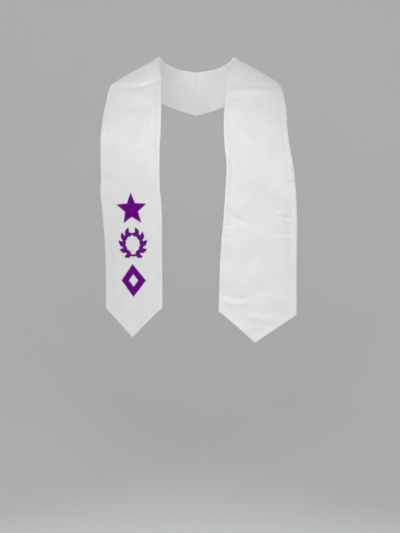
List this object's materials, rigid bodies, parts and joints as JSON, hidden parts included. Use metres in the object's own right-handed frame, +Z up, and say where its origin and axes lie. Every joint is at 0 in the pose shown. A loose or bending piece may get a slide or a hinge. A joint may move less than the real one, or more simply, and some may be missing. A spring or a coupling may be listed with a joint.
{
  "type": "graduation stole",
  "caption": "Satin graduation stole that goes round the neck and hangs down the chest in two pointed panels, with sewn-on ornaments on one panel.",
  "frame": {"origin": "on the axis of the neck that wears the stole, level with the shoulder line where the stole's inner edges lie against the sides of the neck", "axes": "+Z up, -Y towards the wearer's front, +X towards the right as seen from the front"},
  "size_m": [0.3568, 0.2172, 0.5263],
  "materials": {
    "satin": "white bridal satin with a soft sheen",
    "twill": "purple twill with a satin-stitched edge"
  },
  "bodies": {
    "root": {"left_half": "satin", "right_half": "satin", "lozenge_applique": "twill", "wreath_applique": "twill", "star_applique": "twill"}
  },
  "joints": []
}
